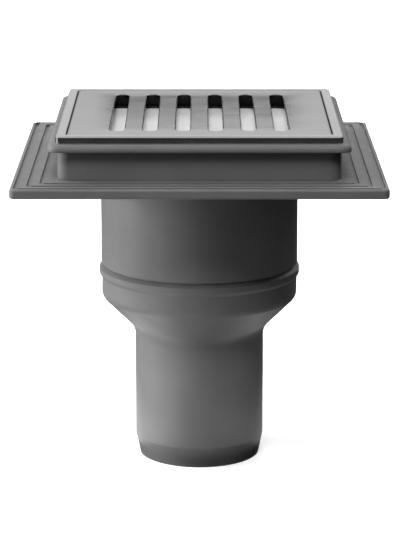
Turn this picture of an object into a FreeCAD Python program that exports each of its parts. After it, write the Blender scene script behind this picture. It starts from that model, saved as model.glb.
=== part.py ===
"""Square floor drain with an upright outlet, in millimetres.

The origin is the centre of the outlet's lower end and +Z is up, out of the floor.
Moulded pieces: outlet pot, flange collar, trap bell, extension tray and strainer.
Pressed pieces: grate frame and grate. Rubber piece: neck seal.
"""

import FreeCAD, Part
import math
import os

from FreeCAD import Vector

# Outlet pot: spigot, cone, wall and the standpipe of the water trap
SPIGOT_OD = 50.0
SPIGOT_WALL = 2.6
SPIGOT_LENGTH = 51.2
SPIGOT_LEAD_LENGTH = 8.0
SPIGOT_LEAD_DEPTH = 1.7
SPIGOT_BLEND = 8.0
POT_OD = 75.8
POT_WALL = 2.2
POT_WALL_HEIGHT = 12.2
POT_BLEND = 4.0
BEAD_PROJECTION = 0.95
BEAD_HEIGHT = 4.6
BEAD_RAMP = 1.4
BEAD_CHAMFER = 1.6
TRAP_FLOOR = 2.4
TRAP_FLOOR_DROP = 1.6
STANDPIPE_INSET = 2.4
STANDPIPE_WALL = 2.0

# Flange collar: tube on the pot, with the square flange round its mouth
COLLAR_STEP = 0.2
COLLAR_WALL = 2.6
COLLAR_HEIGHT = 39.5
SOCKET_DEPTH = 9.0
SOCKET_WALL = 2.2
SEAM_CHAMFER = 1.0
FLANGE_SIZE = 137.2
FLANGE_THICKNESS = 3.6
FLANGE_CORNER = 2.0
FLANGE_EDGE = 0.9
FLANGE_BLEND = 2.0
GROOVE_COUNT = 3
GROOVE_PITCH = 4.5
GROOVE_INSET = 2.2
GROOVE_WIDTH = 1.6
GROOVE_DEPTH = 0.9
GROOVE_CORNER = 0.4

# Trap bell: cup upside down over the standpipe
BELL_GAP = 4.0
BELL_WALL = 1.6
BELL_LIFT = 10.0
BELL_HEADROOM = 10.1
BELL_RIB_COUNT = 4
BELL_RIB_THICKNESS = 1.6
BELL_RIB_OVERLAP = 7.0
KNOB_R = 7.5
KNOB_HEIGHT = 3.6
KNOB_NECK_R = 5.0
KNOB_NECK_HEIGHT = 1.8
KNOB_ROUND = 0.6

# Extension tray: square tray with a round neck that slides in the collar
SKIRT_HEIGHT = 10.8
SKIRT_WALL = 1.8
LIP_OVERHANG = 3.5
LIP_THICKNESS = 2.6
LIP_CORNER = 4.0
LIP_TOP_ROUND = 1.8
LIP_BOTTOM_ROUND = 0.4
TRAY_FLOOR = 2.0
TRAY_FALL = 0.06
RIB_HEADROOM = 0.6
NECK_WALL = 2.0
NECK_STOP = 1.6
SEAL_FLANGE = 1.6
SEAL_WIDTH = 1.7
SEAL_HEIGHT = 3.2
SEAL_LIP = 0.6

# Strainer: slotted plate in the tray's well, on ribs that reach into the neck
STRAINER_DEPTH = 6.5
STRAINER_SHEET = 1.6
STRAINER_CORNER = 3.0
STRAINER_ROUND = 0.5
STRAINER_SLOT_WIDTH = 3.0
STRAINER_SLOT_LENGTH = 14.0
STRAINER_ROW_PITCH = 17.0
STRAINER_END_LAND = 3.0
STRAINER_RIB_COUNT = 8
STRAINER_RIB_THICKNESS = 1.6
STRAINER_RIB_WIDTH = 2.5
STRAINER_RIB_INSET = 2.5
STRAINER_RIB_DROP = 5.0

# Grate frame: bent sheet that clips over the tray's rib
FRAME_SIZE = 105.0
FRAME_HEIGHT = 3.1
FRAME_SHEET = 1.0
FRAME_RIM = 3.5
FRAME_DEPTH = 7.0
FRAME_LEDGE = 4.0
FRAME_BEND = 1.0
FRAME_CORNER = 2.0
FRAME_ROUND = 0.8

# Grate: pressed dish with long slots, as many as its width takes
GRATE_DROP = 0.2
GRATE_SHEET = 1.5
GRATE_BEND = 0.7
GRATE_ROUND = 1.0
SLOT_WIDTH = 5.4
SLOT_PITCH = 12.2
SLOT_CHAMFER = 0.35
SLOT_SIDE_LAND = 15.0
SLOT_END_LAND = 8.1

# Clearances
WELD_CLEARANCE = 0.1
NECK_CLEARANCE = 0.3
SEAL_CLEARANCE = 0.1
SKIRT_CLEARANCE = 0.1
FRAME_CLEARANCE = 0.2
GRATE_CLEARANCE = 0.4
BELL_CLEARANCE = 0.15
KNOB_CLEARANCE = 0.4
STRAINER_CLEARANCE = 0.3
STRAINER_SEAT_CLEARANCE = 0.1
STRAINER_PASSAGE = 0.5

# Radii that several pieces share
SPIGOT_R = SPIGOT_OD / 2
SPIGOT_BORE_R = SPIGOT_R - SPIGOT_WALL
POT_R = POT_OD / 2
POT_BORE_R = POT_R - POT_WALL
STANDPIPE_R = SPIGOT_BORE_R - STANDPIPE_INSET
STANDPIPE_BORE_R = STANDPIPE_R - STANDPIPE_WALL
BELL_BORE_R = STANDPIPE_R + BELL_GAP
BELL_R = BELL_BORE_R + BELL_WALL
COLLAR_R = POT_R + COLLAR_STEP
COLLAR_BORE_R = COLLAR_R - COLLAR_WALL
SOCKET_R = POT_BORE_R - WELD_CLEARANCE
SOCKET_BORE_R = SOCKET_R - SOCKET_WALL
NECK_R = COLLAR_BORE_R - SEAL_WIDTH - 2 * SEAL_CLEARANCE
NECK_BORE_R = NECK_R - NECK_WALL

# Half sizes and corner radii of the square pieces, from the grate outwards
FRAME_HALF = FRAME_SIZE / 2
OPENING_HALF = FRAME_HALF - FRAME_RIM
GRATE_HALF = OPENING_HALF - GRATE_CLEARANCE
FRAME_WALL_HALF = OPENING_HALF + FRAME_SHEET
WELL_HALF = FRAME_WALL_HALF + FRAME_CLEARANCE
STRAINER_HALF = OPENING_HALF - FRAME_LEDGE - STRAINER_PASSAGE
SKIRT_HALF = WELL_HALF + SKIRT_WALL
LIP_HALF = SKIRT_HALF + LIP_OVERHANG
HEM_HALF = FRAME_HALF - FRAME_SHEET
RIB_HALF = HEM_HALF - FRAME_CLEARANCE
FLANGE_HALF = FLANGE_SIZE / 2
WELL_CORNER = FRAME_BEND + FRAME_SHEET + FRAME_CLEARANCE
SKIRT_CORNER = WELL_CORNER + SKIRT_WALL

# Heights, from the outlet's lower end upwards
CONE_TOP = SPIGOT_LENGTH + POT_R - SPIGOT_R
JOINT = CONE_TOP + POT_WALL_HEIGHT
FLANGE_UNDERSIDE = JOINT + COLLAR_HEIGHT
FLANGE_TOP = FLANGE_UNDERSIDE + FLANGE_THICKNESS
TRAP_FLOOR_UNDERSIDE = SPIGOT_LENGTH - TRAP_FLOOR_DROP
TRAP_FLOOR_TOP = TRAP_FLOOR_UNDERSIDE + TRAP_FLOOR
COLLAR_STOP = JOINT + COLLAR_BORE_R - SOCKET_BORE_R
NECK_BOTTOM = COLLAR_STOP + NECK_STOP
TRAY_BOTTOM = FLANGE_TOP + SKIRT_CLEARANCE
LIP_BOTTOM = TRAY_BOTTOM + SKIRT_HEIGHT
LIP_TOP = LIP_BOTTOM + LIP_THICKNESS
FRAME_TOP = LIP_TOP + FRAME_HEIGHT
RIM_UNDERSIDE = FRAME_TOP - FRAME_SHEET
LEDGE_BOTTOM = FRAME_TOP - FRAME_DEPTH
LEDGE_TOP = LEDGE_BOTTOM + FRAME_SHEET
GRATE_TOP = FRAME_TOP - GRATE_DROP
GRATE_UNDERSIDE = GRATE_TOP - GRATE_SHEET

# Heights, from the grate down to the standpipe
STRAINER_TOP = GRATE_TOP - STRAINER_DEPTH
STRAINER_UNDERSIDE = STRAINER_TOP - STRAINER_SHEET
KNOB_TOP = STRAINER_UNDERSIDE - KNOB_CLEARANCE
BELL_TOP = KNOB_TOP - KNOB_HEIGHT
BELL_ROOF = BELL_TOP - BELL_WALL
STANDPIPE_TOP = BELL_ROOF - BELL_HEADROOM

# Slots that fit across the grate
SLOT_ROOM = GRATE_HALF - SLOT_SIDE_LAND - SLOT_WIDTH / 2
SLOT_COUNT = int(2 * SLOT_ROOM / SLOT_PITCH) + 1

UP = Vector(0, 0, 1)
CENTRE = Vector(0, 0, 0)
TOUCH = 1e-4


def rounded_wire(corners, place):
    """Closed wire through (a, b, radius) corners, each rounded; place turns (a, b) into a point."""
    starts, middles, ends = [], [], []
    for i, (a, b, radius) in enumerate(corners):
        here = place(a, b)
        before = place(*corners[i - 1][:2])
        after = place(*corners[(i + 1) % len(corners)][:2])
        back = (before - here).normalize()
        ahead = (after - here).normalize()
        half_angle = math.acos(back.dot(ahead)) / 2
        reach = radius / math.tan(half_angle)
        starts.append(here + back * reach)
        ends.append(here + ahead * reach)
        middles.append(here + (back + ahead).normalize() * (radius / math.sin(half_angle) - radius))
    edges = []
    for i, corner in enumerate(corners):
        if corner[2] > 0:
            edges.append(Part.Arc(starts[i], middles[i], ends[i]).toShape())
        following = starts[(i + 1) % len(corners)]
        if ends[i].distanceToPoint(following) > TOUCH:
            edges.append(Part.LineSegment(ends[i], following).toShape())
    return Part.Wire(edges)


def turned(corners):
    """Solid turned about Z from an outline of (radius, height, rounding) corners."""
    wire = rounded_wire(corners, lambda r, z: Vector(r, 0, z))
    return Part.Face(wire).revolve(CENTRE, UP, 360)


def square_block(half, corner, bottom, top):
    """Upright block with a square plan of that half size and rounded corners."""
    plan = [(half, half, corner), (-half, half, corner), (-half, -half, corner), (half, -half, corner)]
    wire = rounded_wire(plan, lambda x, y: Vector(x, y, bottom))
    return Part.Face(wire).extrude(Vector(0, 0, top - bottom))


def edges_at(solid, height, half, inside=False):
    """Edges of a solid that lie in one level, on the outline of that half size or wholly inside it."""
    found = []
    for edge in solid.Edges:
        box = edge.BoundBox
        level = abs(box.ZMin - height) < TOUCH and abs(box.ZMax - height) < TOUCH
        gap = half - max(abs(box.XMin), abs(box.XMax), abs(box.YMin), abs(box.YMax))
        fits = gap > TOUCH if inside else abs(gap) < TOUCH
        if level and fits:
            found.append(edge)
    return found


def ribs(outline, thickness, count):
    """Upright ribs set evenly round Z, from an outline of (radius, height) corners."""
    corners = [(r, z, 0) for r, z in outline]
    wire = rounded_wire(corners, lambda r, z: Vector(r, -thickness / 2, z))
    rib = Part.Face(wire).extrude(Vector(0, thickness, 0))
    found = []
    for i in range(count):
        turned_rib = rib.copy()
        turned_rib.rotate(CENTRE, UP, (i + 0.5) * 360 / count)
        found.append(turned_rib)
    return found


def slot(x, y, length, width, bottom, top):
    """Round-ended cutter that runs front to back, between two levels."""
    half = width / 2
    end = length / 2 - half
    front_right = Vector(x + half, y - end, bottom)
    back_right = Vector(x + half, y + end, bottom)
    back_left = Vector(x - half, y + end, bottom)
    front_left = Vector(x - half, y - end, bottom)
    edges = [
        Part.LineSegment(front_right, back_right).toShape(),
        Part.Arc(back_right, Vector(x, y + end + half, bottom), back_left).toShape(),
        Part.LineSegment(back_left, front_left).toShape(),
        Part.Arc(front_left, Vector(x, y - end - half, bottom), front_right).toShape(),
    ]
    return Part.Face(Part.Wire(edges)).extrude(Vector(0, 0, top - bottom))


def tray_floor(r):
    """Height of the tray's dished floor at a distance from the axis."""
    return TRAY_BOTTOM + TRAY_FLOOR + (r - NECK_BORE_R) * TRAY_FALL


def outlet_pot():
    """Spigot, cone and wall in one turned outline, with the standpipe rising from the trap's floor."""
    cone_offset = SPIGOT_LENGTH - SPIGOT_R + POT_WALL * math.sqrt(2)
    bead_r = POT_R + BEAD_PROJECTION
    bead_bottom = JOINT - BEAD_HEIGHT
    return turned([
        (SPIGOT_BORE_R, 0, 0),
        (SPIGOT_R - SPIGOT_LEAD_DEPTH, 0, 0),
        (SPIGOT_R, SPIGOT_LEAD_LENGTH, 0),
        (SPIGOT_R, SPIGOT_LENGTH, SPIGOT_BLEND),
        (POT_R, CONE_TOP, POT_BLEND),
        (POT_R, bead_bottom, 0),
        (bead_r, bead_bottom + BEAD_RAMP, BEAD_PROJECTION),
        (bead_r, JOINT - SEAM_CHAMFER, 0),
        (bead_r - BEAD_CHAMFER, JOINT, 0),
        (POT_BORE_R, JOINT, 0),
        (POT_BORE_R, POT_BORE_R + cone_offset, POT_WALL),
        (TRAP_FLOOR_TOP - cone_offset, TRAP_FLOOR_TOP, 0),
        (STANDPIPE_R, TRAP_FLOOR_TOP, 0),
        (STANDPIPE_R, STANDPIPE_TOP, 0),
        (STANDPIPE_BORE_R, STANDPIPE_TOP, 0),
        (STANDPIPE_BORE_R, TRAP_FLOOR_UNDERSIDE, 0),
        (SPIGOT_BORE_R, TRAP_FLOOR_UNDERSIDE, 0),
    ])


def flange_collar():
    """Tube that is welded into the pot's mouth, with the grooved square flange on top."""
    blend_r = COLLAR_R + FLANGE_BLEND
    disc_r = blend_r + FLANGE_BLEND
    socket_end = JOINT - SOCKET_DEPTH
    tube = turned([
        (SOCKET_BORE_R, socket_end, 0),
        (SOCKET_R, socket_end, 0),
        (SOCKET_R, JOINT, 0),
        (COLLAR_R - SEAM_CHAMFER, JOINT, 0),
        (COLLAR_R, JOINT + SEAM_CHAMFER, 0),
        (COLLAR_R, FLANGE_UNDERSIDE, FLANGE_BLEND),
        (disc_r, FLANGE_UNDERSIDE, 0),
        (disc_r, FLANGE_TOP, 0),
        (COLLAR_BORE_R, FLANGE_TOP, 0),
        (COLLAR_BORE_R, COLLAR_STOP, 0),
        (SOCKET_BORE_R, JOINT, 0),
    ])
    plate = square_block(FLANGE_HALF, FLANGE_CORNER, FLANGE_UNDERSIDE, FLANGE_TOP)
    rims = edges_at(plate, FLANGE_TOP, FLANGE_HALF) + edges_at(plate, FLANGE_UNDERSIDE, FLANGE_HALF)
    plate = plate.makeFillet(FLANGE_EDGE, rims)
    opening = Part.makeCylinder(blend_r, FLANGE_THICKNESS, Vector(0, 0, FLANGE_UNDERSIDE))
    solid = tube.fuse(plate.cut(opening)).removeSplitter()
    groove_bottom = FLANGE_TOP - GROOVE_DEPTH
    for i in range(GROOVE_COUNT):
        inner = FLANGE_HALF - GROOVE_INSET - i * GROOVE_PITCH - GROOVE_WIDTH / 2
        outside = square_block(inner + GROOVE_WIDTH, GROOVE_CORNER + GROOVE_WIDTH, groove_bottom, FLANGE_TOP)
        inside = square_block(inner, GROOVE_CORNER, groove_bottom, FLANGE_TOP)
        solid = solid.cut(outside.cut(inside))
    return solid


def trap_bell():
    """Cup upside down over the standpipe, with ribs that stand on its rim and a knob to lift it by."""
    rim = TRAP_FLOOR_TOP + BELL_LIFT
    knob_step = BELL_TOP + KNOB_NECK_HEIGHT
    cup = turned([
        (BELL_BORE_R, rim, 0),
        (BELL_R, rim, 0),
        (BELL_R, BELL_TOP, BELL_WALL),
        (KNOB_NECK_R, BELL_TOP, 0),
        (KNOB_NECK_R, knob_step, 0),
        (KNOB_R, knob_step, 0),
        (KNOB_R, KNOB_TOP, KNOB_ROUND),
        (0, KNOB_TOP, 0),
        (0, BELL_ROOF, 0),
        (BELL_BORE_R, BELL_ROOF, 0),
    ])
    inner = STANDPIPE_BORE_R - BELL_RIB_THICKNESS
    guide = STANDPIPE_R + BELL_CLEARANCE
    outer = BELL_R - BELL_WALL / 2
    crown = BELL_ROOF + BELL_WALL / 2
    outline = [
        (inner, crown),
        (inner, STANDPIPE_TOP),
        (guide, STANDPIPE_TOP),
        (guide, STANDPIPE_TOP - BELL_RIB_OVERLAP),
        (outer, STANDPIPE_TOP - BELL_RIB_OVERLAP),
        (outer, crown),
    ]
    return cup.fuse(ribs(outline, BELL_RIB_THICKNESS, BELL_RIB_COUNT)).removeSplitter()


def extension_tray():
    """Square tray whose dished floor runs into the neck, with a lip outside and the frame's rib on top."""
    seal_flange_r = COLLAR_BORE_R - NECK_CLEARANCE
    groove_bottom = NECK_BOTTOM + SEAL_FLANGE
    groove_top = groove_bottom + SEAL_HEIGHT + 2 * SEAL_CLEARANCE
    reach = 2 * SKIRT_HALF
    neck = turned([
        (NECK_BORE_R, NECK_BOTTOM, 0),
        (seal_flange_r, NECK_BOTTOM, 0),
        (seal_flange_r, groove_bottom, 0),
        (NECK_R, groove_bottom, 0),
        (NECK_R, groove_top, 0),
        (seal_flange_r, groove_top, 0),
        (seal_flange_r, groove_top + SEAL_FLANGE, 0),
        (NECK_R, groove_top + SEAL_FLANGE, 0),
        (NECK_R, TRAY_BOTTOM, 0),
        (reach, tray_floor(reach) - TRAY_FLOOR, 0),
        (reach, tray_floor(reach), 0),
        (NECK_BORE_R, tray_floor(NECK_BORE_R), NECK_WALL),
    ])
    inside_wall = WELL_HALF + SKIRT_WALL / 2
    floor = neck.common(square_block(inside_wall, SKIRT_CORNER, NECK_BOTTOM, LIP_TOP))
    skirt = square_block(SKIRT_HALF, SKIRT_CORNER, TRAY_BOTTOM, LIP_TOP)
    lip = square_block(LIP_HALF, LIP_CORNER, LIP_BOTTOM, LIP_TOP)
    lip = lip.makeFillet(LIP_BOTTOM_ROUND, edges_at(lip, LIP_BOTTOM, LIP_HALF))
    lip = lip.makeFillet(LIP_TOP_ROUND, edges_at(lip, LIP_TOP, LIP_HALF))
    rib_top = RIM_UNDERSIDE - RIB_HEADROOM
    rib = square_block(RIB_HALF, WELL_CORNER + RIB_HALF - WELL_HALF, LIP_BOTTOM, rib_top)
    well = square_block(WELL_HALF, WELL_CORNER, TRAY_BOTTOM, rib_top)
    walls = skirt.fuse([lip, rib]).cut(well)
    return walls.fuse(floor).removeSplitter()


def neck_seal():
    """Rubber ring with two lips, held between the neck's seal flanges."""
    bottom = NECK_BOTTOM + SEAL_FLANGE + SEAL_CLEARANCE
    top = bottom + SEAL_HEIGHT
    inner = NECK_R + SEAL_CLEARANCE
    outer = inner + SEAL_WIDTH
    waist = inner + SEAL_WIDTH / 2
    return turned([
        (inner, bottom, 0),
        (waist, bottom, 0),
        (outer, bottom + SEAL_LIP, 0),
        (waist, (bottom + top) / 2, 0),
        (outer, top - SEAL_LIP, 0),
        (waist, top, 0),
        (inner, top, 0),
    ])


def grate_frame():
    """Bent sheet ring: outer hem, top rim, inner wall and the ledge under the grate."""
    rim = square_block(FRAME_HALF, FRAME_CORNER, LIP_TOP, FRAME_TOP)
    rim = rim.makeFillet(FRAME_ROUND, edges_at(rim, FRAME_TOP, FRAME_HALF))
    under_rim = square_block(HEM_HALF, FRAME_CORNER - FRAME_SHEET, LIP_TOP, RIM_UNDERSIDE)
    wall = square_block(FRAME_WALL_HALF, FRAME_BEND + FRAME_SHEET, LEDGE_BOTTOM, RIM_UNDERSIDE)
    grate_seat = square_block(OPENING_HALF, FRAME_BEND, LEDGE_TOP, FRAME_TOP)
    drain_hole = square_block(OPENING_HALF - FRAME_LEDGE, FRAME_BEND, LEDGE_BOTTOM, LEDGE_TOP)
    solid = rim.cut(under_rim).fuse(wall).removeSplitter().cut([grate_seat, drain_hole])
    return solid.makeFillet(FRAME_ROUND / 2, edges_at(solid, FRAME_TOP, OPENING_HALF))


def grate():
    """Pressed dish that stands on the frame's ledge, with a row of long slots."""
    dish = square_block(GRATE_HALF, GRATE_BEND + GRATE_SHEET, LEDGE_TOP, GRATE_TOP)
    dish = dish.makeFillet(GRATE_ROUND, edges_at(dish, GRATE_TOP, GRATE_HALF))
    hollow = square_block(GRATE_HALF - GRATE_SHEET, GRATE_BEND, LEDGE_TOP, GRATE_UNDERSIDE)
    length = 2 * (GRATE_HALF - SLOT_END_LAND)
    cutters = []
    for i in range(SLOT_COUNT):
        x = (i - (SLOT_COUNT - 1) / 2) * SLOT_PITCH
        cutters.append(slot(x, 0, length, SLOT_WIDTH, GRATE_UNDERSIDE, GRATE_TOP))
    solid = dish.cut(hollow).cut(cutters)
    return solid.makeChamfer(SLOT_CHAMFER, edges_at(solid, GRATE_TOP, GRATE_HALF - GRATE_ROUND, inside=True))


def strainer():
    """Plate whose slots lie under the grate's bars, on ribs that stand on the tray's floor."""
    plate = square_block(STRAINER_HALF, STRAINER_CORNER, STRAINER_UNDERSIDE, STRAINER_TOP)
    plate = plate.makeFillet(STRAINER_ROUND, edges_at(plate, STRAINER_TOP, STRAINER_HALF))
    guide = NECK_BORE_R - STRAINER_CLEARANCE
    inner = guide - STRAINER_RIB_WIDTH
    outer = STRAINER_HALF - STRAINER_RIB_INSET
    tip = tray_floor(NECK_BORE_R) - STRAINER_RIB_DROP
    crown = (STRAINER_UNDERSIDE + STRAINER_TOP) / 2
    outline = [
        (inner, crown),
        (inner, tip),
        (guide, tip),
        (guide, tray_floor(guide) + STRAINER_SEAT_CLEARANCE),
        (outer, tray_floor(outer) + STRAINER_SEAT_CLEARANCE),
        (outer, crown),
    ]
    row_room = STRAINER_HALF - STRAINER_END_LAND - STRAINER_SLOT_LENGTH / 2
    row_count = int(2 * row_room / STRAINER_ROW_PITCH) + 1
    levels = (STRAINER_UNDERSIDE, STRAINER_TOP)
    cutters = []
    for i in range(SLOT_COUNT + 1):
        for j in range(row_count):
            x = (i - SLOT_COUNT / 2) * SLOT_PITCH
            y = (j - (row_count - 1) / 2) * STRAINER_ROW_PITCH
            cutters.append(slot(x, y, STRAINER_SLOT_LENGTH, STRAINER_SLOT_WIDTH, *levels))
    on_ribs = plate.fuse(ribs(outline, STRAINER_RIB_THICKNESS, STRAINER_RIB_COUNT)).removeSplitter()
    return on_ribs.cut(cutters)


PIECES = [outlet_pot, flange_collar, trap_bell, extension_tray, neck_seal, strainer, grate_frame, grate]

os.makedirs("parts", exist_ok=True)
for make in PIECES:
    shape = make()
    shape.exportStep(f"parts/{make.__name__}.step")
    print(f"{make.__name__}: valid {shape.isValid()}, {shape.Volume / 1000:.2f} cm3")
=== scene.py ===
# %% [markdown]
# Dressing a floor drain
#
# The packed model already holds every piece of the drain at its real size: a steel grate in a steel frame,
# a moulded tray with a strainer in it, a square flange on a round collar, and a pot that narrows to a pipe
# spigot. This lesson keeps those shapes as they are and gives them their finishes, a studio and a camera.

# %% Load the packed model
import math

import bpy
import numpy as np
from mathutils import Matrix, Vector


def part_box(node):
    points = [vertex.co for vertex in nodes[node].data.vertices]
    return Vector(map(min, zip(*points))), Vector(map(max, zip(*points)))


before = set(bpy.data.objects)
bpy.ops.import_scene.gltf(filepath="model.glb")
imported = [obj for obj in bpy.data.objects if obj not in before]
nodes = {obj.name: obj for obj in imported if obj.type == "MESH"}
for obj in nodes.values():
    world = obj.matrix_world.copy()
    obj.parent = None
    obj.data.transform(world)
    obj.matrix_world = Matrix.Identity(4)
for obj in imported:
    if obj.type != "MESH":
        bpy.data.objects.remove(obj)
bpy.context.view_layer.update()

MM = 0.001
print("pieces:", sorted(nodes))

# %% [markdown]
# How a finish is put together
#
# Every finish is a small node graph around one Principled shader. The graph starts from Object coordinates,
# which are metres in the model's own frame, so a noise texture's scale reads as features per metre and a
# height in the graph is a height on the drain. An image texture would need the pieces unwrapped first, and
# noise doesn't. A small class keeps the graphs short: each method adds one step, wires it up and hands back
# its output.

# %% Helpers for node graphs

# A noise texture's values mostly lie between these two.
NOISE_LOW = 0.3
NOISE_HIGH = 0.7


class Finish:
    """A material under construction: its node tree, its shader and the Object coordinates it reads."""

    def __init__(self, name):
        self.material = bpy.data.materials.new(name)
        self.material.use_nodes = True
        self.tree = self.material.node_tree
        self.shader = self.tree.nodes["Principled BSDF"]
        self.place = self.tree.nodes.new("ShaderNodeTexCoord").outputs["Object"]
        axes = self.tree.nodes.new("ShaderNodeSeparateXYZ")
        self.link(self.place, axes.inputs["Vector"])
        self.x, self.y, self.z = axes.outputs

    def link(self, source, target):
        """Wire from an output socket to an input socket."""
        self.tree.links.new(source, target)

    def drive(self, socket, source):
        """Wire from an output socket to the shader's input of that name."""
        self.link(source, self.shader.inputs[socket])

    def noise(self, per_metre, detail=2.0, stretch=(1.0, 1.0, 1.0)):
        """Noise of that many features per metre; a stretch under 1 draws them out along that axis."""
        mapping = self.tree.nodes.new("ShaderNodeMapping")
        mapping.inputs["Scale"].default_value = stretch
        self.link(self.place, mapping.inputs["Vector"])
        texture = self.tree.nodes.new("ShaderNodeTexNoise")
        texture.inputs["Scale"].default_value = per_metre
        texture.inputs["Detail"].default_value = detail
        self.link(mapping.outputs["Vector"], texture.inputs["Vector"])
        return texture.outputs["Fac"]

    def maths(self, operation, *operands):
        """One sum on sockets and plain numbers."""
        node = self.tree.nodes.new("ShaderNodeMath")
        node.operation = operation
        for operand, slot in zip(operands, node.inputs):
            if isinstance(operand, (int, float)):
                slot.default_value = operand
            else:
                self.link(operand, slot)
        return node.outputs["Value"]

    def spread(self, factor, low, high):
        """Value that goes from low to high as a noise goes through its usual range."""
        span = self.tree.nodes.new("ShaderNodeMapRange")
        ends = {"From Min": NOISE_LOW, "From Max": NOISE_HIGH, "To Min": low, "To Max": high}
        for key, value in ends.items():
            span.inputs[key].default_value = value
        self.link(factor, span.inputs["Value"])
        return span.outputs["Result"]

    def bump(self, height, depth, under=None):
        """Bump of that depth in metres, on top of an earlier bump if one is given."""
        node = self.tree.nodes.new("ShaderNodeBump")
        node.inputs["Distance"].default_value = depth
        self.link(height, node.inputs["Height"])
        if under is not None:
            self.link(under, node.inputs["Normal"])
        self.drive("Normal", node.outputs["Normal"])
        return node.outputs["Normal"]


print("steps of a finish:", [step for step in vars(Finish) if not step.startswith("_")])

# %% [markdown]
# Moulded plastic
#
# The body is injection-moulded polypropylene: a dull mid grey with a soft waxy gloss. Up close it has a
# fine spark-eroded grain from the mould, and over a few centimetres the melt leaves faint clouds of tone
# and gloss. A flat colour would look like a computer drawing, so tone, roughness and bump each get a noise
# of their own. Strainer and bell are moulded from the same material without the grey pigment.

# %% Plastic finish

CLOUDS_PER_METRE = 55.0
CLOUD_SHARE = 0.07
FLOWS_PER_METRE = 120.0
FLOW_STRETCH = 0.25
FLOW_SMOOTHER = 0.05
FLOW_ROUGHER = 0.06
WAVES_PER_METRE = 90.0
WAVE_DEPTH = 0.05 * MM
GRAINS_PER_METRE = 2600.0
GRAIN_DEPTH = 0.012 * MM
PLASTIC_IOR = 1.49


def moulded_plastic(name, tone, rough):
    """Plastic with clouds in its tone, a roughness that wanders along the flow, and a fine mould grain."""
    finish = Finish(name)
    clouds = finish.noise(CLOUDS_PER_METRE, detail=4.0)
    tones = finish.spread(clouds, tone * (1.0 - CLOUD_SHARE), tone * (1.0 + CLOUD_SHARE))
    finish.drive("Base Color", tones)
    flow = finish.noise(FLOWS_PER_METRE, detail=3.0, stretch=(1.0, 1.0, FLOW_STRETCH))
    finish.drive("Roughness", finish.spread(flow, rough - FLOW_SMOOTHER, rough + FLOW_ROUGHER))
    waves = finish.bump(finish.noise(WAVES_PER_METRE), WAVE_DEPTH)
    finish.bump(finish.noise(GRAINS_PER_METRE, detail=3.0), GRAIN_DEPTH, under=waves)
    finish.shader.inputs["IOR"].default_value = PLASTIC_IOR
    return finish.material


body_plastic = moulded_plastic("body_plastic", tone=0.115, rough=0.46)
trap_plastic = moulded_plastic("trap_plastic", tone=0.86, rough=0.42)
print("plastics:", body_plastic.name, trap_plastic.name)

# %% [markdown]
# Lines in stainless sheet
#
# Frame and grate are pressed from stainless sheet, and grinding leaves hair-fine lines in it. An
# anisotropic shader would only stretch the highlights. A noise drawn out along one axis shows the lines
# themselves up close, and tilts the surface just enough to smear what it mirrors. On the frame the lines
# follow each side and meet at the corners like a mitre.

# %% Lines of the sheet

LINES_PER_METRE = 1800.0
LINE_STRETCH = 0.01


def lines_along_x(finish):
    """Noise drawn out along X."""
    return finish.noise(LINES_PER_METRE, detail=3.0, stretch=(LINE_STRETCH, 1.0, 1.0))


def mitred_lines(finish):
    """Noise drawn out along X at the front and back sides, and along Y where |x| is greater than |y|."""
    along_y = finish.noise(LINES_PER_METRE, detail=3.0, stretch=(1.0, LINE_STRETCH, 1.0))
    aside = finish.maths("ABSOLUTE", finish.x)
    at_side = finish.maths("GREATER_THAN", aside, finish.maths("ABSOLUTE", finish.y))
    elsewhere = finish.maths("SUBTRACT", 1.0, at_side)
    side_lines = finish.maths("MULTIPLY", along_y, at_side)
    return finish.maths("MULTIPLY_ADD", lines_along_x(finish), elsewhere, side_lines)


print("width of a line in mm:", round(1.0 / LINES_PER_METRE / MM, 2))

# %% [markdown]
# Bright and brushed steel, with painted shade
#
# Pressing leaves slight curves, far too flat to see in outline but plain in what the steel mirrors: the
# grate is crowned from front to back, the frame's rim leans outwards a little, and both have a faint
# ripple. They go into the shading as bump, because as geometry they would change sizes that have to fit.
#
# The same sheet is given three looks. The middle of the grate and the frame's hem are polished. The
# frame's top and a border round the grate are brushed, which makes them rougher and paler. The slots'
# punched walls, the inside of the dish and the frame's ledge are darkened with painted shade.

# %% Steel finish

LINE_CONTRAST = 0.035
LINE_DEPTH = 0.0007 * MM
RIPPLES_PER_METRE = 45.0
RIPPLE_DEPTH = 0.22 * MM
# Share of the steel's colour kept where shade is painted on the slots' walls, the dish and the ledge.
PAINTED_SHADE_SHARE = 0.06
BUFFS_PER_METRE = 90.0
POLISHED_FROM = 0.225
POLISHED_TO = 0.275
BRUSHING = 0.3


def outward(finish):
    """Distance from the middle of the square, which is the larger of |x| and |y|."""
    aside = finish.maths("ABSOLUTE", finish.x)
    return finish.maths("MAXIMUM", aside, finish.maths("ABSOLUTE", finish.y))


def sheet_steel(finish, tone, lines, curve, painted_shade, brushed):
    """Steel with a broad curve, a ripple and lines; darkened with painted shade by the shade mask, rougher
    where brushed is 1.
    """
    lined = finish.spread(lines, tone - LINE_CONTRAST, tone + LINE_CONTRAST)
    # Painted shade: where the shade mask is 1, the colour drops to a small share of its tone.
    share = finish.maths("MULTIPLY_ADD", painted_shade, PAINTED_SHADE_SHARE - 1.0, 1.0)
    finish.drive("Base Color", finish.maths("MULTIPLY", lined, share))
    polished = finish.spread(finish.noise(BUFFS_PER_METRE, detail=4.0), POLISHED_FROM, POLISHED_TO)
    finish.drive("Roughness", finish.maths("MULTIPLY_ADD", brushed, BRUSHING, polished))
    curved = finish.bump(curve, 1.0)
    rippled = finish.bump(finish.noise(RIPPLES_PER_METRE), RIPPLE_DEPTH, under=curved)
    finish.bump(lines, LINE_DEPTH, under=rippled)
    finish.shader.inputs["Metallic"].default_value = 1.0
    return finish.material


print("roughness of polished and of brushed steel:", POLISHED_FROM, POLISHED_FROM + BRUSHING)
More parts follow.
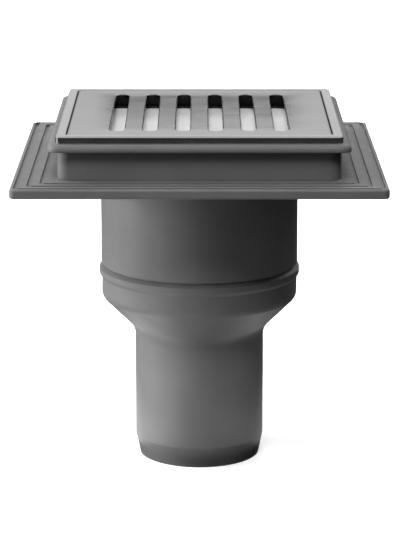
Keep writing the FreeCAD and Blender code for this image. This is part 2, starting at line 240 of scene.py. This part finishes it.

# %% [markdown]
# Where each treatment lies
#
# The frame and the grate are one node each, so polished, brushed and painted-shade parts are told apart by
# where they lie: by height, and by distance from the middle. These limits are taken from the boxes of the
# two pieces, so they follow the model. Splitting the meshes would do as well, but the meshes stay as they
# are.

# %% Steel of frame and grate

grate_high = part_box("grate")[1]
frame_low, frame_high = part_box("grate_frame")
EDGE_BAND = 0.7 * MM
within_dish = grate_high.x - EDGE_BAND

FRAME_TONE = 0.78
RIM_LEAN = 0.03
RIM_BAND = 0.6 * MM
LEDGE_BAND = 1.5 * MM

GRATE_TONE = 0.64
CROWN_RISE = 0.7 * MM
TOP_BAND = 0.5 * MM
BORDER_WIDTH = 15.0 * MM


def steel_of_frame(name):
    """Mitred lines, a rim that falls with the distance outwards, a brushed top and painted shade on the
    ledge.
    """
    finish = Finish(name)
    reach = outward(finish)
    lean = finish.maths("MULTIPLY", reach, -RIM_LEAN)
    # Painted shade on the frame's ledge, low down and within the dish, where shade falls.
    low_down = finish.maths("LESS_THAN", finish.z, frame_low.z + LEDGE_BAND)
    ledge_shade = finish.maths("MULTIPLY", low_down, finish.maths("LESS_THAN", reach, within_dish))
    on_top = finish.maths("GREATER_THAN", finish.z, frame_high.z - RIM_BAND)
    return sheet_steel(finish, FRAME_TONE, mitred_lines(finish), lean, ledge_shade, on_top)


def steel_of_grate(name):
    """Lines along X, a crown that falls with the square of y, a border brushed to the edge, painted shade
    in the dish.
    """
    finish = Finish(name)
    reach = outward(finish)
    y_squared = finish.maths("MULTIPLY", finish.y, finish.y)
    crown = finish.maths("MULTIPLY", y_squared, -CROWN_RISE / grate_high.y ** 2)
    # Painted shade on the slots' walls and inside the dish, below the top.
    below_top = finish.maths("LESS_THAN", finish.z, grate_high.z - TOP_BAND)
    dish_shade = finish.maths("MULTIPLY", below_top, finish.maths("LESS_THAN", reach, within_dish))
    from_edge = finish.maths("SUBTRACT", grate_high.x, reach)
    border = finish.maths("MULTIPLY_ADD", from_edge, -1.0 / BORDER_WIDTH, 1.0)
    at_border = finish.maths("MAXIMUM", border, 0.0)
    return sheet_steel(finish, GRATE_TONE, lines_along_x(finish), crown, dish_shade, at_border)


frame_steel = steel_of_frame("frame_steel")
grate_steel = steel_of_grate("grate_steel")
print("steels:", frame_steel.name, grate_steel.name)
print("tops of grate and frame in mm:", round(grate_high.z / MM, 1), round(frame_high.z / MM, 1))

# %% [markdown]
# Seal rubber
#
# The neck's seal stays inside the collar and shows only when the tray is taken out. Rubber is almost black,
# matt, and has a fine bloom on its surface, so a coarse noise lightens it and a fine one roughens it.

# %% Rubber finish

BLOOMS_PER_METRE = 400.0
RUBBER_DARK = 0.014
RUBBER_PALE = 0.024
RUBS_PER_METRE = 900.0
RUBBER_SMOOTH = 0.62
RUBBER_ROUGH = 0.78
PITS_PER_METRE = 3000.0
PIT_DEPTH = 0.01 * MM


def matt_rubber(name):
    """Black rubber with a grey bloom, an uneven dullness and a fine grain."""
    finish = Finish(name)
    blooms = finish.noise(BLOOMS_PER_METRE, detail=4.0)
    finish.drive("Base Color", finish.spread(blooms, RUBBER_DARK, RUBBER_PALE))
    finish.drive("Roughness", finish.spread(finish.noise(RUBS_PER_METRE), RUBBER_SMOOTH, RUBBER_ROUGH))
    finish.bump(finish.noise(PITS_PER_METRE), PIT_DEPTH)
    return finish.material


seal_rubber = matt_rubber("seal_rubber")
print("rubber:", seal_rubber.name)

# %% [markdown]
# Which piece gets which finish
#
# A finish could go by the record's material slot, but frame and grate share the slot of stainless steel and
# are treated differently. So the table goes by piece.

# %% Dress the nodes

finishes = {
    "outlet_pot": body_plastic,
    "flange_collar": body_plastic,
    "extension_tray": body_plastic,
    "trap_bell": trap_plastic,
    "strainer": trap_plastic,
    "neck_seal": seal_rubber,
    "grate_frame": frame_steel,
    "grate": grate_steel,
}
for name, material in finishes.items():
    mesh = nodes[name].data
    mesh.materials.clear()
    mesh.materials.append(material)
print("dressed:", len(finishes), "of", len(nodes), "nodes")

# %% [markdown]
# Floor and wall
#
# The photograph is a catalogue cut-out on white. A floor as one square face and a wall as a ring of faces
# stand in for the white, so that it goes on behind the drain from every side. So much white would light the
# drain too strongly from below, so both show only to the camera, and cards of light take their place later.

# %% Floor and wall

FLOOR_HALF = 4.0
WALL_RADIUS = 3.9
WALL_HEIGHT = 4.0


def stage_piece(name, points, faces):
    """Object of the studio from points and faces, kept out of everything but the camera's own view."""
    mesh = bpy.data.meshes.new(name)
    mesh.from_pydata(points.tolist(), [], faces.tolist())
    piece = bpy.data.objects.new(name, mesh)
    bpy.context.scene.collection.objects.link(piece)
    piece.visible_glossy = False
    piece.visible_diffuse = False
    piece.visible_shadow = False
    return piece


def floor_sheet(half):
    """Level square of that half size, as one face."""
    corners = half * np.array([[-1, -1, 0], [1, -1, 0], [1, 1, 0], [-1, 1, 0]], float)
    return corners, np.array([[0, 1, 2, 3]])


def ring_wall(radius, height, sides=64):
    """Upright wall round the origin: the same circle of points at the floor and at that height."""
    turn = np.linspace(0.0, 2.0 * np.pi, sides, endpoint=False)
    foot = np.column_stack([radius * np.cos(turn), radius * np.sin(turn), np.zeros(sides)])
    here = np.arange(sides)
    after = (here + 1) % sides
    faces = np.column_stack([after, here, here + sides, after + sides])
    return np.vstack([foot, foot + [0.0, 0.0, height]]), faces


floor = stage_piece("studio_floor", *floor_sheet(FLOOR_HALF))
wall = stage_piece("studio_wall", *ring_wall(WALL_RADIUS, WALL_HEIGHT))
print("studio:", floor.name, wall.name)

# %% [markdown]
# White paper
#
# Floor and wall are white paper. Lit by the boxes alone it would come out grey, so it glows: a little near
# the drain, where it still takes a soft shadow, and more further out, where it has to be plain white.

# %% Paper finish

PAPER_CLOUDS_PER_METRE = 6.0
PAPER_DARK = 0.84
PAPER_PALE = 0.87
PAPER_ROUGHNESS = 0.9
# The glow grows with the distance in metres, between these two.
FLOOR_GLOW_NEAR = 0.32
FLOOR_GLOW_FAR = 1.0


def glowing_paper(name):
    """White paper whose glow is the distance from the origin, kept between the near and the far glow."""
    finish = Finish(name)
    finish.drive("Base Color", finish.spread(finish.noise(PAPER_CLOUDS_PER_METRE), PAPER_DARK, PAPER_PALE))
    finish.shader.inputs["Roughness"].default_value = PAPER_ROUGHNESS
    finish.shader.inputs["Emission Color"].default_value = (1.0, 1.0, 1.0, 1.0)
    x_squared = finish.maths("POWER", finish.x, 2.0)
    squares = finish.maths("ADD", x_squared, finish.maths("POWER", finish.y, 2.0))
    glow = finish.maths("MAXIMUM", finish.maths("SQRT", squares), FLOOR_GLOW_NEAR)
    finish.drive("Emission Strength", finish.maths("MINIMUM", glow, FLOOR_GLOW_FAR))
    return finish.material


paper = glowing_paper("floor_paper")
for piece in (floor, wall):
    piece.data.materials.append(paper)
print("paper:", paper.name)

# %% [markdown]
# Soft boxes
#
# A picture of a room wrapped round the scene could light the drain, but separate boxes show what each light
# does. A large soft box on the left models the round body from light to dark. Its mirror image is much
# weaker than its light, because the body in the photograph is almost matt, so the sheen is a box of its
# own. A box in front and above draws the shadow under the tray's lip and reaches the strainer through the
# grate, one above on the left lights the level faces, and a wide low box behind is what the steel mirrors.
# Two more boxes behind the drain matter only when it is seen from other sides.

# %% Soft boxes


def soft_box(name, place, aim, size, power, mirrored):
    """Rectangular area light at a place, turned to face its aim; sizes in metres, power in watts."""
    lamp = bpy.data.lights.new(name, "AREA")
    lamp.shape = "RECTANGLE"
    lamp.size, lamp.size_y = size
    lamp.energy = power
    light = bpy.data.objects.new(name, lamp)
    light.location = place
    light.rotation_euler = (Vector(aim) - Vector(place)).to_track_quat("-Z", "Y").to_euler()
    light.visible_glossy = mirrored
    bpy.context.scene.collection.objects.link(light)
    return light


MIDDLE = (0.0, 0.0, 0.09)
GRATE_LEVEL = (0.0, 0.0, 0.13)

# Place, aim, width and height, power, and whether the drain mirrors the box.
BOXES = {
    "key_box": ((-1.2, -0.03, 0.16), MIDDLE, (0.9, 0.6), 29.0, False),
    "key_sheen": ((-1.19, -0.03, 0.16), MIDDLE, (0.9, 0.6), 1.6, True),
    "front_box": ((-0.02, -0.65, 0.985), MIDDLE, (0.4, 0.4), 9.8, False),
    "top_box": ((-1.0, 0.25, 1.15), MIDDLE, (0.8, 0.8), 19.0, False),
    "back_box": ((0.0, 1.9, 0.9), GRATE_LEVEL, (2.4, 0.8), 1.9, True),
    "rear_box": ((0.0, 1.2, 0.5), MIDDLE, (0.6, 0.6), 10.0, False),
    "rear_right_box": ((0.65, 1.05, 0.5), MIDDLE, (0.6, 0.6), 8.0, False),
}
soft_boxes = {name: soft_box(name, *facts) for name, facts in BOXES.items()}
soft_boxes["key_sheen"].visible_diffuse = False
print("soft boxes:", list(soft_boxes))

# %% [markdown]
# Light from the floor
#
# White paper under a drain throws light back up at it. Here the paper is left out of that, and level cards
# just above it give as much light as the photograph shows: more on the left and in front, little on the
# right. Only the two cards at the foot are also mirrored, which gives the cone its faint sheen from below.

# %% Cards on the floor

CARD_LIFT = 3 * MM
OVERHEAD = 1.0

# Place on the floor, width and depth, power, and whether the drain mirrors the card.
CARDS = {
    "left_foot_card": ((-0.043, 0.01), (0.034, 0.14), 0.021, True),
    "near_card": ((-0.1, -0.02), (0.08, 0.18), 0.05, False),
    "front_card": ((-0.1, -0.155), (0.3, 0.25), 0.24, False),
    "left_card": ((-0.2, 0.02), (0.2, 0.3), 0.3, False),
    "right_foot_card": ((0.043, 0.01), (0.034, 0.14), 0.011, True),
    "right_card": ((0.095, -0.02), (0.07, 0.16), 0.018, False),
}
for name, ((x, y), size, power, mirrored) in CARDS.items():
    card = soft_box(name, (x, y, CARD_LIFT), (x, y, OVERHEAD), size, power, mirrored)
    card.visible_camera = False

# %% [markdown]
# The room above
#
# Bright steel shows whatever surrounds it. From the side of the photograph it mirrors the box behind, and
# from everywhere else it would mirror a black room, so a pale ceiling is painted on the world from nine
# degrees up, a little dimmer overhead. It is left out of the light that falls on matt surfaces, which the
# boxes give.

# %% World

# Glow of the room, by degrees above the horizon.
ROOM_GLOW = {0: 0.02, 9: 0.02, 30: 0.85, 46: 0.85, 66: 0.4}

world = bpy.data.worlds.new("studio")
world.use_nodes = True
sky = world.node_tree
upward = sky.nodes.new("ShaderNodeSeparateXYZ")
sky.links.new(sky.nodes.new("ShaderNodeTexCoord").outputs["Generated"], upward.inputs["Vector"])
ceiling = sky.nodes.new("ShaderNodeValToRGB")
stops = ceiling.color_ramp.elements
while len(stops) < len(ROOM_GLOW):
    stops.new(1.0)
for stop, (degrees, glow) in zip(stops, ROOM_GLOW.items()):
    stop.position = math.sin(math.radians(degrees))
    stop.color = (glow, glow, glow, 1.0)
sky.links.new(upward.outputs["Z"], ceiling.inputs["Fac"])
sky.links.new(ceiling.outputs["Color"], sky.nodes["Background"].inputs["Color"])
world.cycles_visibility.diffuse = False
bpy.context.scene.world = world
bpy.context.scene.view_settings.view_transform = "Standard"
print("ceiling:", [round(stop.color[0], 2) for stop in stops])

# %% [markdown]
# The camera
#
# A camera could be placed by eye, but then no outline would quite fit. This one was worked out from the
# outlines in the photograph: it looks along +Y from a little under a metre away, tipped down by about
# fourteen degrees, through a long lens. A slight shift puts the drain's axis where it is in the picture.

# %% Camera

# Lengths in metres. The focal length and the picture's height are in pixels, the sensor in millimetres.
CAMERA_DISTANCE = 0.9701
CAMERA_TILT = math.radians(13.647)
AIM_HEIGHT = 0.07395
FOCAL_PIXELS = 2487.3
PICTURE_HEIGHT = 536
SENSOR = 36.0
# Share of the picture's height by which the drain's axis stands left of the middle.
AXIS_SHIFT = 0.003

camera_data = bpy.data.cameras.new("catalogue_camera")
camera_data.sensor_fit = "VERTICAL"
camera_data.sensor_height = SENSOR
camera_data.lens = FOCAL_PIXELS / PICTURE_HEIGHT * SENSOR
camera_data.shift_x = AXIS_SHIFT
camera = bpy.data.objects.new("catalogue_camera", camera_data)
camera.location = (
    0.0,
    -CAMERA_DISTANCE * math.cos(CAMERA_TILT),
    AIM_HEIGHT + CAMERA_DISTANCE * math.sin(CAMERA_TILT),
)
camera.rotation_euler = (math.pi / 2 - CAMERA_TILT, 0.0, 0.0)
bpy.context.scene.collection.objects.link(camera)
bpy.context.scene.camera = camera
print("lens in mm:", round(camera_data.lens, 1))

# %% [markdown]
# Sizes and finish
#
# Dressing must not change the drain's size.

# %% Sizes and finish
